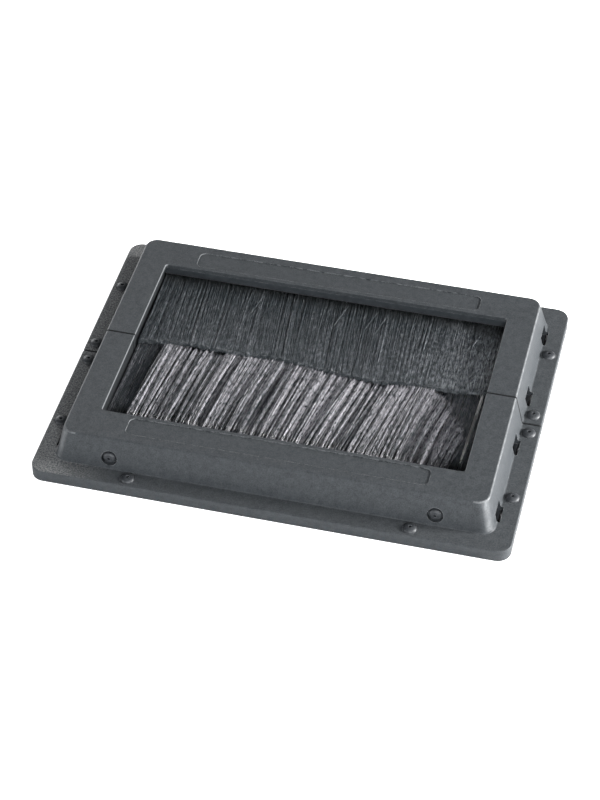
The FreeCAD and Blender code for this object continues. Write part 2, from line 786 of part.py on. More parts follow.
def filament_row(label, turn, reach, rise, sweep, peak, waves):
    """The filaments of one brush: a root band in the channel and a row of tapered tufts."""
    half = value("stripX")
    count = int(2 * half / value("tuftPitch"))
    pitch = 2 * half / count
    size = {
        "mouthY": value("mouthY"),
        "brushHeight": value("brushHeight"),
        "rootDepth": value("wireFit"),
        "rootWidth": pitch - value("tuftGap"),
        "rootThickness": 2 * value("bandHalf"),
        "tipWidth": value("tipWidth"),
        "tipThickness": value("tipThickness"),
        "crown": value("tuftCrown"),
    }
    band_front = -value("mouthY")
    band_back = -value("bandBack")
    band = Part.makeBox(
        2 * half, band_front - band_back, size["rootThickness"],
        Vector(-half, band_back, size["brushHeight"] - size["rootThickness"] / 2),
    )
    bore = Part.makeCylinder(
        value("wireDiameter / 2 + wireFit / 2"), 2 * half,
        Vector(-half, -value("wireY"), size["brushHeight"]), Vector(1, 0, 0),
    )
    tufts = []
    for number in range(count):
        share = (number + 0.5) / count
        root_x = -half + pitch * (number + 0.5)
        tip_x = root_x + sideways(share, sweep, peak)
        ripple = sum(math.sin(2 * math.pi * (turns * share + start)) for turns, start in waves)
        length = reach + value("tipWave") * ripple / len(waves)
        tufts.append(tuft(root_x, tip_x, length, rise, size))
    row = doc.addObject("Part::Feature", label)
    row.Label = label
    row.Shape = band.multiFuse(tufts).cut(bore)
    row.Placement = Placement(Vector(0, 0, 0), Rotation(Vector(0, 0, 1), turn))
    return row


def wall_screw(label):
    """Round-headed screw with a hexagon socket, driven through the long wall into the carrier."""
    body = new_body(label)
    seat = "-screwSeat"
    across = "wallScrewAt"
    head = circles(body, "head_circle", "XZ_Plane", "screwSeat", "screwHead",
                   [(across, "wallScrewHeight")])
    pad(body, "head", head, "screwHeadHeight")
    outer_y = value(seat) - value("screwHeadHeight")
    dress(
        body, "Fillet", "head_round",
        lambda edge: close(edge.BoundBox.YMin, outer_y) and close(edge.BoundBox.YMax, outer_y),
        "headRound",
    )
    shank = circles(body, "shank_circle", "XZ_Plane", "screwSeat", "screwShank",
                    [(across, "wallScrewHeight")])
    pad(body, "shank", shank, "screwLength", backwards=True)
    tip_y = value(seat) + value("screwLength")
    dress(
        body, "Chamfer", "point",
        lambda edge: close(edge.BoundBox.YMin, tip_y) and close(edge.BoundBox.YMax, tip_y),
        "screwShank / 3",
    )
    corner = "driveFlats / sqrt(3)"
    flat = "driveFlats / 2"
    hexagon = [
        (f"{across} + {x}", f"wallScrewHeight + {z}")
        for x, z in (
            (corner, "0"), (f"{corner} / 2", flat), (f"-{corner} / 2", flat),
            (f"-{corner}", "0"), (f"-{corner} / 2", f"-{flat}"), (f"{corner} / 2", f"-{flat}"),
        )
    ]
    socket = outline(body, "socket_outline", "XZ_Plane", "screwSeat + screwHeadHeight", hexagon)
    pocket(body, "drive_socket", socket, "driveDepth")
    return body


# The two halves of the grommet, and what each holds
HALF_TURN = 180
front_frame = frame_half("frame_half_front")
front_carrier = brush_carrier("brush_carrier_front")
front_channel = brush_channel("brush_channel_front")
first_screw = wall_screw("wall_screw_front_right")
parts = [
    front_frame,
    twin(front_frame, "frame_half_back", HALF_TURN),
    front_carrier,
    twin(front_carrier, "brush_carrier_back", HALF_TURN),
    front_channel,
    twin(front_channel, "brush_channel_back", HALF_TURN),
    core_wire("core_wire_front", -1),
    core_wire("core_wire_back", 1),
    first_screw,
    twin(first_screw, "wall_screw_front_left", 0, "-2 * wallScrewAt"),
    twin(first_screw, "wall_screw_back_left", HALF_TURN),
    twin(first_screw, "wall_screw_back_right", HALF_TURN, "2 * wallScrewAt"),
]

front_waves = ((1.3, 0.1), (3.7, 0.4), (7.9, 0.2))
back_waves = ((1.1, 0.7), (2.9, 0.1), (6.7, 0.5))
parts.append(filament_row(
    "filament_row_front", 0, value("frontReach"), -value("frontDrop"), value("frontSweep"),
    0.3, front_waves,
))
parts.append(filament_row(
    "filament_row_back", HALF_TURN, value("backReach"), value("backRise"), -value("backSweep"),
    0.4, back_waves,
))
doc.recompute()

# Nothing is written unless every object is sound
for item in doc.Objects:
    if "Invalid" in item.State or "Error" in item.State:
        raise ValueError(f"{item.Label} did not recompute")
for part in parts:
    if part.Shape.isNull() or not part.Shape.isValid():
        raise ValueError(f"{part.Label} has no sound shape")

os.makedirs("parts", exist_ok=True)
for part in parts:
    part.Shape.exportStep(f"parts/{part.Label}.step")
    print(part.Label, len(part.Shape.Solids), round(part.Shape.Volume / 1000, 2), "cm3")
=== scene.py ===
import math

import bpy
import numpy as np
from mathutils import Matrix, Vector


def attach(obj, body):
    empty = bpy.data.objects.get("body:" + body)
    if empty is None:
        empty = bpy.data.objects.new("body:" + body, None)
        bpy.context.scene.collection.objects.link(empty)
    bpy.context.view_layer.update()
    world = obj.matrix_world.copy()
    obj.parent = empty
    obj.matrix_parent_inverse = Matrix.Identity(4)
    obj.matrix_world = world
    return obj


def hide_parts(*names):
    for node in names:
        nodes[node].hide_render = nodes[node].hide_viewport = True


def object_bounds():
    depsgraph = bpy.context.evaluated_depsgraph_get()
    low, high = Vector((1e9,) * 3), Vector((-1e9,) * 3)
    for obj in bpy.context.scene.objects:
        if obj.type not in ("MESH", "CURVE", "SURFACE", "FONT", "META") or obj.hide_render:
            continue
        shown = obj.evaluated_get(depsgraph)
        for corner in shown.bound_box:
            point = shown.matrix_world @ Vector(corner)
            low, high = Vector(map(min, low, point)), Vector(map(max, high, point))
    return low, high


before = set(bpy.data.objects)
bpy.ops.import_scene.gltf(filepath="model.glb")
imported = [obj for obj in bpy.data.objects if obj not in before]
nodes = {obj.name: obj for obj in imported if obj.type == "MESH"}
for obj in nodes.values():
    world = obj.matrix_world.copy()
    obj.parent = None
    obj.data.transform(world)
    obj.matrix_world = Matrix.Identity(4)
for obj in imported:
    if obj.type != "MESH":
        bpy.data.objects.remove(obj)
frameLow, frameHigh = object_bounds()
mm = 0.001

# A raised floor grommet: a two-part moulded frame round two opposed rows of brush filaments.
# X runs along the long side, Z is up from the floor, the seam between the halves is Y = 0.


def addObject(name, data):
    piece = bpy.data.objects.new(name, data)
    bpy.context.scene.collection.objects.link(piece)
    return piece


# Camera, fitted to the straight edges of the frame
camera = {
    "place": (289.2, -1205.2, 1161.5),   # mm
    "elevation": 43.22,                  # degrees above the horizon
    "azimuth": 13.77,                    # degrees round from the front
    "lens": 108.81,                      # mm, as the sensor is
    "sensor": 36,
    "near": 0.05,                        # m, as far is
    "far": 50,
}


def makeCamera():
    data = bpy.data.cameras.new("camera")
    data.lens = camera["lens"]
    data.sensor_width = camera["sensor"]
    data.clip_start = camera["near"]
    data.clip_end = camera["far"]
    piece = addObject("camera", data)
    piece.location = [value * mm for value in camera["place"]]
    piece.rotation_euler = (math.radians(90 - camera["elevation"]), 0, math.radians(camera["azimuth"]))
    bpy.context.scene.camera = piece


makeCamera()
print("camera set")


# Building blocks of every material
def addNode(tree, kind, **settings):
    # Settings that are the node's own properties are set on it, the others fill its input sockets.
    node = tree.nodes.new(kind)
    for name, value in settings.items():
        if hasattr(node, name):
            setattr(node, name, value)
        else:
            node.inputs[name.replace("_", " ")].default_value = value
    return node


def link(tree, source, target):
    tree.links.new(source, target)


def fill(tree, socket, item):
    # Another node's output is linked to the socket, anything else becomes its value.
    if isinstance(item, bpy.types.NodeSocket):
        link(tree, item, socket)
    else:
        socket.default_value = item


def calculate(tree, operation, first, second=None, clamp=False):
    node = addNode(tree, "ShaderNodeMath", operation=operation, use_clamp=clamp)
    for socket, item in zip(node.inputs, (first, second)):
        if item is not None:
            fill(tree, socket, item)
    return node.outputs[0]


def product(tree, first, *others):
    for other in others:
        first = calculate(tree, "MULTIPLY", first, other)
    return first


def spread(tree, source, over=(0.0, 1.0), to=(0.0, 1.0)):
    # The source's values over one stretch are spread over another, and end at its ends.
    node = tree.nodes.new("ShaderNodeMapRange")
    ends = ("Value", "From Min", "From Max", "To Min", "To Max")
    for name, item in zip(ends, (source, *over, *to)):
        fill(tree, node.inputs[name], item)
    return node.outputs[0]


def split(tree, vector):
    node = tree.nodes.new("ShaderNodeSeparateXYZ")
    link(tree, vector, node.inputs[0])
    return node.outputs


def noiseAt(tree, place, scale, detail, roughness):
    node = addNode(tree, "ShaderNodeTexNoise", Detail=detail, Roughness=roughness)
    link(tree, place, node.inputs["Vector"])
    fill(tree, node.inputs["Scale"], scale)
    return node.outputs[0]


def stretchedNoise(tree, place, stretch, detail, roughness):
    node = addNode(tree, "ShaderNodeMapping", Scale=stretch)
    link(tree, place, node.inputs["Vector"])
    return noiseAt(tree, node.outputs[0], 1.0, detail, roughness)


# Where a Mix node has its factor, first, second and result sockets, for each kind of value
mixSockets = {"FLOAT": (0, 2, 3, 0), "RGBA": (0, 6, 7, 2)}


def mix(tree, kind, factor, first, second):
    node = addNode(tree, "ShaderNodeMix", data_type=kind)
    *taken, given = mixSockets[kind]
    for socket, item in zip(taken, (factor, first, second)):
        fill(tree, node.inputs[socket], item)
    return node.outputs[given]


def mixColour(tree, factor, *colours):
    # A colour is a node's output or red, green and blue, which get an alpha of 1.
    opaque = [item if isinstance(item, bpy.types.NodeSocket) else (*item, 1.0) for item in colours]
    return mix(tree, "RGBA", factor, *opaque)


def engrave(tree, shader, height, strength, depth):
    bump = addNode(tree, "ShaderNodeBump", Strength=strength, Distance=depth)
    link(tree, height, bump.inputs["Height"])
    link(tree, bump.outputs[0], shader.inputs["Normal"])


def newMaterial(name):
    material = bpy.data.materials.new(name)
    material.use_nodes = True
    tree = material.node_tree
    shader = tree.nodes["Principled BSDF"]
    place = tree.nodes.new("ShaderNodeTexCoord").outputs["Object"]
    return material, tree, shader, place


def newGroup(name, takes, gives):
    # A group takes a place and numbers, given here with their usual values, and gives out numbers.
    group = bpy.data.node_groups.new(name, "ShaderNodeTree")
    group.interface.new_socket("Place", in_out="INPUT", socket_type="NodeSocketVector")
    for socket, usual in takes.items():
        made = group.interface.new_socket(socket, in_out="INPUT", socket_type="NodeSocketFloat")
        made.default_value = usual
    for socket in gives:
        group.interface.new_socket(socket, in_out="OUTPUT", socket_type="NodeSocketFloat")
    return group, group.nodes.new("NodeGroupInput").outputs, group.nodes.new("NodeGroupOutput").inputs


def useGroup(tree, group, place, **values):
    node = tree.nodes.new("ShaderNodeGroup")
    node.node_tree = group
    link(tree, place, node.inputs["Place"])
    for name, value in values.items():
        node.inputs[name].default_value = value
    return node.outputs


# Shader groups that several materials share. Under takes are a group's usual values: lengths in
# metres, noise scales in cells per metre. Each noise has a detail and a roughness.
mouldGrain = {
    "takes": {"Fine": 1500.0, "Wide": 260.0, "Share": 0.6},     # Share is the fine noise's part
    "fineNoise": (3.0, 0.6),
    "wideNoise": (4.0, 0.55),
    "contrast": (0.32, 0.68),
    "depth": 0.0002,
}


def makeGrain():
    # Spark-eroded mould texture: a fine noise for the pits, a wider one for the mottling.
    look = mouldGrain
    group, takes, gives = newGroup("mouldGrain", look["takes"], ["Tone", "Height"])
    fine = noiseAt(group, takes["Place"], takes["Fine"], *look["fineNoise"])
    wide = noiseAt(group, takes["Place"], takes["Wide"], *look["wideNoise"])
    mixed = mix(group, "FLOAT", takes["Share"], wide, fine)
    link(group, spread(group, mixed, look["contrast"]), gives["Tone"])
    link(group, fine, gives["Height"])
    return group


# Edge wear and painted highlight: rounded edges are lightened as wear and as a painted highlight, and the
# collar's end rims and upright corners get painted highlights.
edgeWearAndHighlight = {
    "takes": {"Reach": 0.0012, "Gain": 6.0, "Breaks": 300.0, "Side": 0.136, "Above": 0.0100,
              "Outer": 0.0},
    "samples": 6,
    "breaksNoise": (4.0, 0.65),
    "breaks": (0.42, 0.62),
    "highlightBreaks": (0.5, 1.0),           # how much a painted corner highlight changes along its length
    "upright": (0.36, 0.62),        # the lesser of the normal's X and Y on an upright corner
    "leavesWall": (0.30, 0.50),     # the normal's Z on a rim, next to the wall
    "nearsTop": (0.99, 0.90),       # and next to the top
}


def makeEdgeWearAndHighlight():
    # Where the surface turns within a reach, its rounded normal leaves the real one; noise breaks the
    # mask up. The mask is edge wear and also a painted highlight along the edges. The corner highlight
    # socket adds painted highlights on the collar's end rims and upright corners: past Side in X and
    # higher than Above, where the normal lies between up and sideways, or between X and Y.
    look = edgeWearAndHighlight
    group, takes, gives = newGroup("edgeWearAndHighlight", look["takes"], ["Mask"])
    normal = group.nodes.new("ShaderNodeNewGeometry").outputs["Normal"]
    rounded = addNode(group, "ShaderNodeBevel", samples=look["samples"])
    link(group, takes["Reach"], rounded.inputs["Radius"])
    across = addNode(group, "ShaderNodeVectorMath", operation="DOT_PRODUCT")
    link(group, rounded.outputs[0], across.inputs[0])
    link(group, normal, across.inputs[1])
    turned = calculate(group, "SUBTRACT", 1.0, across.outputs["Value"])
    breaks = noiseAt(group, takes["Place"], takes["Breaks"], *look["breaksNoise"])
    raised = product(group, turned, takes["Gain"])
    wornAndHighlight = calculate(group, "MULTIPLY", raised, spread(group, breaks, look["breaks"]), clamp=True)

    where = split(group, takes["Place"])
    facing = split(group, normal)
    toEnd = calculate(group, "GREATER_THAN", calculate(group, "ABSOLUTE", where["X"]), takes["Side"])
    onCollar = calculate(group, "GREATER_THAN", where["Z"], takes["Above"])
    leftRight = calculate(group, "ABSOLUTE", facing["X"])
    frontBack = calculate(group, "ABSOLUTE", facing["Y"])
    upright = spread(group, calculate(group, "MINIMUM", leftRight, frontBack), look["upright"])
    leavesWall = spread(group, facing["Z"], look["leavesWall"])
    rim = product(group, leavesWall, spread(group, facing["Z"], look["nearsTop"]))
    corner = calculate(group, "MAXIMUM", rim, upright)
    highlightRegion = product(group, corner, toEnd, onCollar, takes["Outer"])
    highlightBreaks = spread(group, breaks, look["breaks"], look["highlightBreaks"])
    paintedCornerHighlight = calculate(group, "MULTIPLY", highlightRegion, highlightBreaks, clamp=True)
    link(group, calculate(group, "MAXIMUM", wornAndHighlight, paintedCornerHighlight), gives["Mask"])
    return group


# Dust on level faces, plus painted light on the left flange strip that grows towards negative X.
dustAndLeftLight = {
    "takes": {"Amount": 0.5, "Low": 0.5, "Height": 0.0115, "Swept": 0.5, "From": -0.110, "To": -0.152,
              "Specks": 900.0},
    "level": (0.6, 1.0),            # the normal's Z
    "specksNoise": (5.0, 0.7),
    "specks": (0.40, 0.88),
}


def makeDustAndLeftLight():
    # Fine dust that settles on level surfaces: how far the normal points up, broken by noise. More of
    # it lies below a height, where feet and brooms pass, and there it also grows towards negative X:
    # painted light that lifts the shade the collar casts on the left flange strip.
    look = dustAndLeftLight
    group, takes, gives = newGroup("dustAndLeftLight", look["takes"], ["Mask"])
    facing = split(group, group.nodes.new("ShaderNodeNewGeometry").outputs["Normal"])
    where = split(group, takes["Place"])
    specks = noiseAt(group, takes["Place"], takes["Specks"], *look["specksNoise"])
    level = spread(group, facing["Z"], look["level"])
    lying = product(group, level, spread(group, specks, look["specks"]))
    isLow = calculate(group, "LESS_THAN", where["Z"], takes["Height"])
    towardsLeft = spread(group, where["X"], (takes["From"], takes["To"]))
    paintedLeftLight = product(group, towardsLeft, isLow, takes["Swept"])
    extra = calculate(group, "ADD", product(group, isLow, takes["Low"]), paintedLeftLight)
    amount = calculate(group, "ADD", extra, takes["Amount"])
    link(group, calculate(group, "MULTIPLY", lying, amount, clamp=True), gives["Mask"])
    return group


jointGrime = {
    "takes": {"Width": 0.0006, "Fade": 0.0010, "Amount": 0.8},
}


def makeJointGrime():
    # Dirt along the joint of the two halves, the plane Y = 0: full within Width of it, then fading.
    group, takes, gives = newGroup("jointGrime", jointGrime["takes"], ["Mask"])
    away = calculate(group, "ABSOLUTE", split(group, takes["Place"])["Y"])
    dirt = spread(group, away, (takes["Width"], takes["Fade"]), (1.0, 0.0))
    link(group, calculate(group, "MULTIPLY", dirt, takes["Amount"], clamp=True), gives["Mask"])
    return group


# Painted shade on the end faces inside the opening, and a painted highlight on the rim above them.
openingShadeAndHighlight = {
    "takes": {"Reach": 0.1285, "Rim": 0.0314, "Full": 0.0300, "Amount": 0.7, "Shine": 0.5},
    "upright": (0.5, 0.8),          # the normal's X on the faces with painted shade
    "turning": (0.1, 0.4),          # and on the rim above them, with a painted highlight
}


def makeOpeningShadeAndHighlight():
    # Painted shade on the upright faces at the ends of the opening: the normal's X is large, the
    # place is nearer the middle than a reach, and the mask fades in below the rim. The rim above it,
    # where the normal has begun to turn, gets a painted highlight.
    look = openingShadeAndHighlight
    group, takes, gives = newGroup("openingShadeAndHighlight", look["takes"], ["Mask", "Bright"])
    facing = split(group, group.nodes.new("ShaderNodeNewGeometry").outputs["Normal"])
    where = split(group, takes["Place"])
    sideways = calculate(group, "ABSOLUTE", facing["X"])
    inside = calculate(group, "LESS_THAN", calculate(group, "ABSOLUTE", where["X"]), takes["Reach"])
    below = spread(group, where["Z"], (takes["Rim"], takes["Full"]))
    above = calculate(group, "SUBTRACT", 1.0, below)
    paintedEndShade = product(group, inside, spread(group, sideways, look["upright"]), below, takes["Amount"])
    paintedRimHighlight = product(group, inside, spread(group, sideways, look["turning"]), above, takes["Shine"])
    link(group, paintedEndShade, gives["Mask"])
    link(group, paintedRimHighlight, gives["Bright"])
    return group


grainGroup = makeGrain()
wearHighlightGroup = makeEdgeWearAndHighlight()
dustLightGroup = makeDustAndLeftLight()
grimeGroup = makeJointGrime()
openingLightGroup = makeOpeningShadeAndHighlight()
print("shader groups made")


# Moulded plastic
# The worn colour is edge wear and painted edge highlight; the dust colour is dust and, on the left flange
# strip, painted light; the grime colour is grime in the joint and painted shade on the opening's end
# faces.
framePlastic = {
    "dark": (0.022, 0.0255, 0.0285),
    "light": (0.057, 0.062, 0.067),
    "wornAndHighlight": (0.200, 0.208, 0.215),
    "dustAndLight": (0.300, 0.300, 0.295),
    "fine": 1300.0,          # grain, cells per metre
    "wide": 260.0,
    "share": 0.65,
    "smooth": 0.38,
    "rough": 0.58,
    "bump": 0.5,
    "gloss": 0.22,
    "wearAndHighlight": 4.5,
    "edgeReach": 0.0007,
    "wearOuter": 0.55,
    "dustAmount": 0.08,
    "dustLow": 0.06,
    "dustSwept": 1.15,
    "grimeAndShade": (0.010, 0.011, 0.012),
    "grimeAmount": 1.0,
    "paintedShadeAmount": 0.85,
    "rubShine": 0.5,
}
carrierPlastic = {
    # The carrier's worn colour is edge wear and painted edge highlight, and its grime colour is painted
    # shade on its end faces.
    "dark": (0.020, 0.024, 0.027),
    "light": (0.042, 0.047, 0.052),
    "wornAndHighlight": (0.060, 0.063, 0.066),
    "dustAndLight": (0.200, 0.200, 0.195),
    "fine": 2600.0,
    "wide": 200.0,
    "share": 0.5,
    "smooth": 0.35,
    "rough": 0.50,
    "bump": 0.15,
    "gloss": 0.3,
    "wearAndHighlight": 2.0,
    "edgeReach": 0.0006,
    "wearOuter": 0.0,
    "dustAmount": 0.04,
    "dustLow": 0.0,
    "dustSwept": 0.0,
    "grimeAndShade": (0.010, 0.011, 0.012),
    "grimeAmount": 0.0,
    "paintedShadeAmount": 0.9,
    "rubShine": 0.0,
}


def mouldedPlastic(name, look):
    # The grain's tone, then edge wear with painted highlights, dust with painted light on the left
    # flange strip, painted shade on the opening's end faces and grime in the joint, each over the last.
    material, tree, shader, place = newMaterial(name)
    grain = useGroup(tree, grainGroup, place, Fine=look["fine"], Wide=look["wide"], Share=look["share"])
    wearAndHighlight = useGroup(tree, wearHighlightGroup, place, Gain=look["wearAndHighlight"], Reach=look["edgeReach"],
                    Outer=look["wearOuter"])
    dustAndLight = useGroup(tree, dustLightGroup, place, Amount=look["dustAmount"], Low=look["dustLow"],
                    Swept=look["dustSwept"])
    openingLight = useGroup(tree, openingLightGroup, place, Amount=look["paintedShadeAmount"], Shine=look["rubShine"])
    grimeAndShade = useGroup(tree, grimeGroup, place, Amount=look["grimeAmount"])
    colour = mixColour(tree, grain["Tone"], look["dark"], look["light"])
    wornAndHighlight = calculate(tree, "MAXIMUM", wearAndHighlight["Mask"], openingLight["Bright"])
    for mask, over in ((wornAndHighlight, "wornAndHighlight"), (dustAndLight["Mask"], "dustAndLight"), (openingLight["Mask"], "grimeAndShade"),
                       (grimeAndShade["Mask"], "grimeAndShade")):
        colour = mixColour(tree, mask, colour, look[over])
    link(tree, colour, shader.inputs["Base Color"])
    roughness = spread(tree, grain["Tone"], to=(look["smooth"], look["rough"]))
    link(tree, roughness, shader.inputs["Roughness"])
    engrave(tree, shader, grain["Height"], look["bump"], mouldGrain["depth"])
    shader.inputs["Specular IOR Level"].default_value = look["gloss"]
    return material


# Metals
# The worn colours of the metals are edge wear and painted edge highlight, strongest on the screws.
channelMetal = {
    "dark": (0.30, 0.30, 0.31),
    "light": (0.52, 0.52, 0.53),
    "wornAndHighlight": (0.62, 0.62, 0.63),
    "stretch": (18.0, 900.0, 900.0),     # cells per metre: the drawn lines run along X
    "smooth": 0.28,
    "rough": 0.48,
    "metallic": 1.0,
    "bump": 0.12,
    "wearAndHighlight": 2.0,
}
screwMetal = {
    "dark": (0.014, 0.016, 0.019),
    "light": (0.045, 0.049, 0.054),
    "wornAndHighlight": (0.22, 0.23, 0.24),
    "stretch": (700.0, 700.0, 700.0),
    "smooth": 0.42,
    "rough": 0.62,
    "metallic": 0.1,
    "bump": 0.1,
    "wearAndHighlight": 5.0,
}
wireMetal = {
    "dark": (0.34, 0.33, 0.32),
    "light": (0.50, 0.49, 0.47),
    "wornAndHighlight": (0.60, 0.59, 0.57),
    "stretch": (25.0, 1400.0, 1400.0),
    "smooth": 0.22,
    "rough": 0.40,
    "metallic": 1.0,
    "bump": 0.08,
    "wearAndHighlight": 1.0,
}
drawnLines = {
    "noise": (5.0, 0.6),
    "contrast": (-0.4, 1.4),
    "depth": 0.0001,         # m, as edgeReach is
    "edgeReach": 0.0004,
}


def drawnMetal(name, look):
    # Noise stretched along the drawing direction tints, roughens and scores the metal; its edges take
    # wear and a painted highlight.
    material, tree, shader, place = newMaterial(name)
    lines = stretchedNoise(tree, place, look["stretch"], *drawnLines["noise"])
    tone = spread(tree, lines, to=drawnLines["contrast"])
    wearAndHighlight = useGroup(tree, wearHighlightGroup, place, Gain=look["wearAndHighlight"], Reach=drawnLines["edgeReach"])
    metal = mixColour(tree, tone, look["dark"], look["light"])
    link(tree, mixColour(tree, wearAndHighlight["Mask"], metal, look["wornAndHighlight"]), shader.inputs["Base Color"])
    roughness = spread(tree, lines, to=(look["smooth"], look["rough"]))
    link(tree, roughness, shader.inputs["Roughness"])
    engrave(tree, shader, lines, look["bump"], drawnLines["depth"])
    shader.inputs["Metallic"].default_value = look["metallic"]
    return material


def dress(prefix, material):
    for name, piece in nodes.items():
        if name.startswith(prefix):
            piece.data.materials.clear()
            piece.data.materials.append(material)


dress("frame_half", mouldedPlastic("texturedCharcoalPlastic", framePlastic))
dress("brush_carrier", mouldedPlastic("blackCarrierPlastic", carrierPlastic))
dress("brush_channel", drawnMetal("foldedChannelMetal", channelMetal))
screwSteel = drawnMetal("blackenedScrewSteel", screwMetal)
dress("wall_screw", screwSteel)
dress("core_wire", drawnMetal("drawnWireSteel", wireMetal))
dress("filament_row", mouldedPlastic("filamentPlastic", carrierPlastic))
print("solids dressed")


def ringCorners(count, rings, sides):
    # Numbers of the points of a number of tubes made of rings: each tube's first, and for every quad
    # the point itself, the one beside it on its ring, and those two on the next ring.
    start = (np.arange(count) * rings * sides)[:, None, None]
    row = (np.arange(rings - 1) * sides)[None, :, None]
    side = np.arange(sides)[None, None, :]
    here = start + row + side
    beside = start + row + (side + 1) % sides
    return start[:, 0, :], here, beside, here + sides, beside + sides


# Floor screws: button heads with a hexagon socket, seated on the spot faces of the flange
floorScrew = {
    "head": 9.6,             # across, mm
    "height": 2.7,
    "rim": 0.5,              # upright edge under the dome
    "socket": 2.2,           # across its flats
    "depth": 1.5,
    "land": 1.12,            # the dome begins at the socket's corners times this
    "shank": 4.0,
    "seat": 8.3,             # height of the spot faces
    "foot": 0.3,             # shank's end above the floor
    "inset": 7.2,            # flange's edge to a screw
    "beside": (9.2, 73.0),   # screws along the short sides, from the seam
    "across": 97.0,          # screws along the long sides, from the middle
    "sides": 36,
    "domeSteps": 7,
}


def screwCentres():
    # Four screws beside each short side and two beside each long one, worked out from the flange.
    farX, farY = (frameHigh[axis] / mm - floorScrew["inset"] for axis in (0, 1))
    beside = [(side * farX, end * y) for side in (-1, 1) for end in (-1, 1) for y in floorScrew["beside"]]
    across = [(side * floorScrew["across"], end * farY) for side in (-1, 1) for end in (-1, 1)]
    return np.array(beside + across)


def screwSurface():
    # Rings from the socket's floor up its walls, over the dome, down the rim, in under the head and
    # down the shank. A ring of radius r lies at (r cos a, r sin a). On the dome r grows with the sine
    # and the height with the cosine of one angle; in the socket r is the half width over its flats
    # divided by the cosine of the angle from the nearest flat's middle.
    look = floorScrew
    angle = np.arange(look["sides"]) * 2 * np.pi / look["sides"]
    sixth = np.pi / 3
    hexagon = look["socket"] / 2 / np.cos((angle + sixth / 2) % sixth - sixth / 2)
    bend = np.linspace(0, np.pi / 2, look["domeSteps"])
    inner = hexagon.max() * look["land"]
    outer = look["head"] / 2
    top = look["seat"] + look["height"]
    dome = inner + (outer - inner) * np.sin(bend)
    rise = look["seat"] + look["rim"] + (look["height"] - look["rim"]) * np.cos(bend)
    shank = look["shank"] / 2
    circle = np.ones_like(angle)
    socket = [hexagon, hexagon]
    radius = np.concatenate([
        socket, dome[:, None] * circle, np.array([[outer], [shank], [shank]]) * circle,
    ])
    height = np.concatenate([[top - look["depth"], top], rise, [look["seat"], look["seat"], look["foot"]]])
    ring = np.stack([
        radius * np.cos(angle), radius * np.sin(angle), height[:, None] * circle,
    ], axis=-1)
    band = np.arange(len(height) - 1)
    smooth = (band >= len(socket)) & (band < len(socket) + look["domeSteps"] - 1)
    return ring, smooth


def makeFloorScrews():
    ring, smooth = screwSurface()
    rings, sides = ring.shape[:2]
    centres = screwCentres()
    count = len(centres)
    shift = np.concatenate([centres, np.zeros((count, 1))], axis=1)
    place = (shift[:, None, None, :] + ring[None]).reshape(-1, 3) * mm
    start, here, beside, above, aboveBeside = ringCorners(count, rings, sides)
    quads = np.stack([here, above, aboveBeside, beside], axis=-1).reshape(-1, 4)
    floors = start + np.arange(sides)
    ends = start + (rings - 1) * sides + np.arange(sides)[::-1]
    faces = [*quads.tolist(), *floors.tolist(), *ends.tolist()]
    mesh = bpy.data.meshes.new("floor_screws")
    mesh.from_pydata(place.tolist(), [], faces)
    flags = np.zeros(len(faces), bool)
    flags[:len(quads)] = np.tile(np.repeat(smooth, sides), count)
    mesh.polygons.foreach_set("use_smooth", flags)
    mesh.validate()
    mesh.materials.append(screwSteel)
    piece = addObject("floor_screws", mesh)
    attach(piece, "root")
    print("floor_screws", count, "screws,", len(faces), "faces")


makeFloorScrews()


# Brush filaments, mm
filaments = {
    "half": 126.6,         # half the length of a row
    "mouth": 81.1,         # channel's mouth from the seam
    "inside": 3.0,         # how far the roots start inside the channel
    "sides": 3,
    "tip": 0.03,           # share of a strand that tapers
    "point": 0.2,          # how thick its end stays
    "leaning": 1.15,       # power of t: above 1, a strand leans more towards its tip
    "gathering": 3,        # a strand has closed in on its bundle after a third of its length
    "ripples": 1.6,        # waves along a strand
    "traits": 4,           # random numbers of a group, a bundle or a strand
    # How much the group, the bundle and then the strand itself add to each of these
    "swayShares": (0.25, 0.5),
    "unevenShares": (0.25, 0.3, 0.4),
    "liftShares": (0.5, 0.6),
    "bendShares": (0.5, 0.3, 0.4),
}


